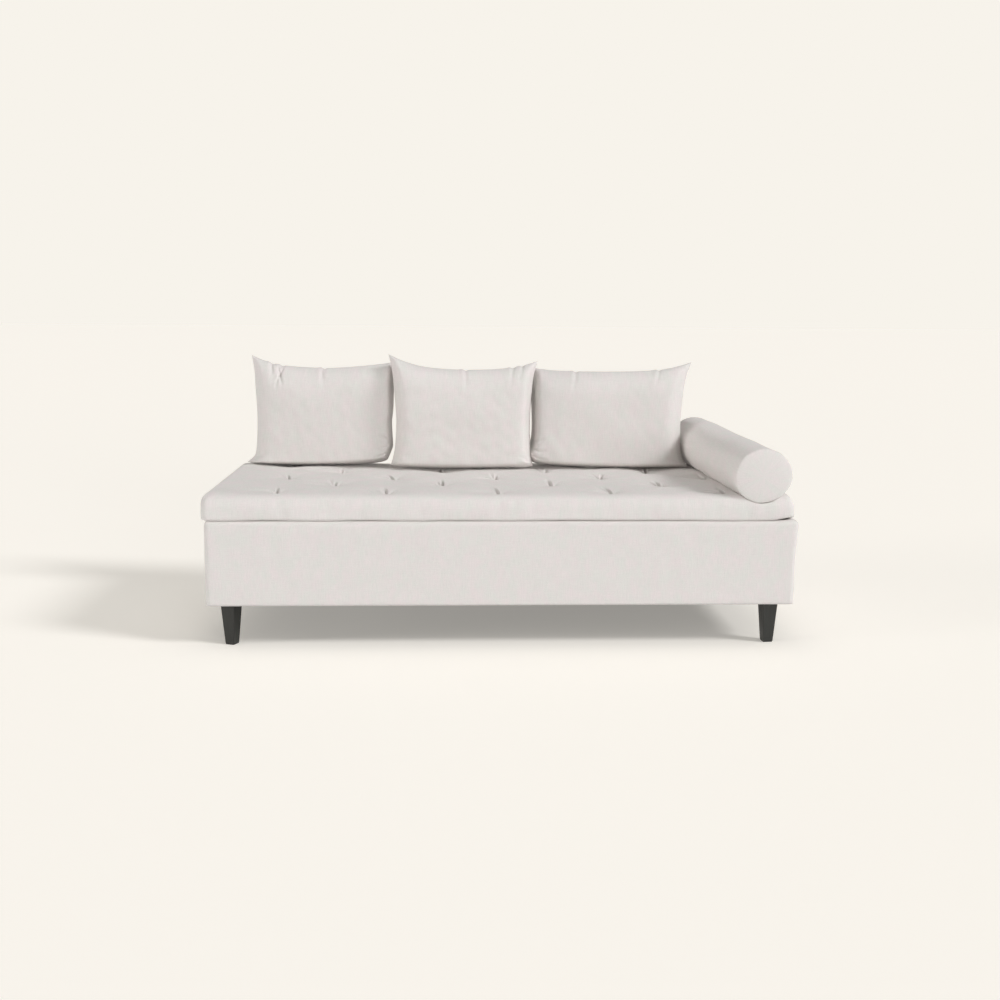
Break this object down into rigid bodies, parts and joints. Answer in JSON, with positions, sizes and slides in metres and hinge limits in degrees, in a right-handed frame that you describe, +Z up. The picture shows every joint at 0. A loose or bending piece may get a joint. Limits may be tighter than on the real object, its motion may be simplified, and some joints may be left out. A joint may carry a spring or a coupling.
{
  "type": "backless divan",
  "caption": "Backless upholstered divan on tapered wooden legs, with a loose tufted mattress, knife-edge back cushions and a bolster at one end.",
  "frame": {"origin": "centre of the footprint, on the floor under the legs", "axes": "+X along the length towards the bolster end, +Y from the front to the back, +Z up"},
  "size_m": [2.006, 0.9035, 0.9512],
  "materials": {
    "upholstery": "matte woven off-white melange with a linen look",
    "fibre": "soft bonded polyester fibre",
    "foam": "open-cell cushion foam",
    "twine": "waxed twine, tied tight",
    "plywood": "sanded birch plywood",
    "pine": "planed untreated pine",
    "leg_wood": "solid wood, black stain under a satin lacquer",
    "steel": "zinc-plated steel",
    "pad": "black glide pad",
    "lining": "black non-woven lining",
    "tape": "woven cotton tape"
  },
  "bodies": {
    "base": {"base_cover": "upholstery", "base_wadding": "fibre", "corner_post_front_left": "pine", "corner_post_front_right": "pine", "corner_post_rear_left": "pine", "corner_post_rear_right": "pine", "cross_rail_left": "pine", "cross_rail_right": "pine", "dust_cover": "lining", "front_ledger": "pine", "front_panel": "plywood", "hanger_bolts": "steel", "left_panel": "plywood", "leg_board_front_left": "plywood", "leg_board_front_right": "plywood", "leg_board_rear_left": "plywood", "leg_board_rear_right": "plywood", "leg_front_left": "leg_wood", "leg_front_right": "leg_wood", "leg_pads": "pad", "leg_rear_left": "leg_wood", "leg_rear_right": "leg_wood", "rear_ledger": "pine", "rear_panel": "plywood", "right_panel": "plywood", "slat_tapes": "tape", "slats": "pine", "tee_nuts": "steel"},
    "mattress": {"mattress_core": "foam", "mattress_cover": "upholstery", "mattress_tufts": "twine", "mattress_wadding": "fibre"},
    "cushion_left": {"cushion_left_cover": "upholstery", "cushion_left_filling": "fibre"},
    "cushion_centre": {"cushion_centre_cover": "upholstery", "cushion_centre_filling": "fibre"},
    "cushion_right": {"cushion_right_cover": "upholstery", "cushion_right_filling": "fibre"},
    "bolster": {"bolster_cover": "upholstery", "bolster_filling": "fibre"}
  },
  "joints": [
    {"name": "mattress_lift", "type": "slide", "parent": "base", "child": "mattress", "axis": [0, 0, 1], "range_m": [0, 0.4]},
    {"name": "cushion_left_lift", "type": "slide", "parent": "mattress", "child": "cushion_left", "axis": [0.0068, 0.0782, 0.9969], "range_m": [0, 0.5]},
    {"name": "cushion_centre_lift", "type": "slide", "parent": "mattress", "child": "cushion_centre", "axis": [0, 0.0785, 0.9969], "range_m": [0, 0.5]},
    {"name": "cushion_right_lift", "type": "slide", "parent": "mattress", "child": "cushion_right", "axis": [0.0048, 0.0783, 0.9969], "range_m": [0, 0.5]},
    {"name": "bolster_lift", "type": "slide", "parent": "mattress", "child": "bolster", "axis": [0.3419, 0, 0.9397], "range_m": [0, 0.45]}
  ]
}
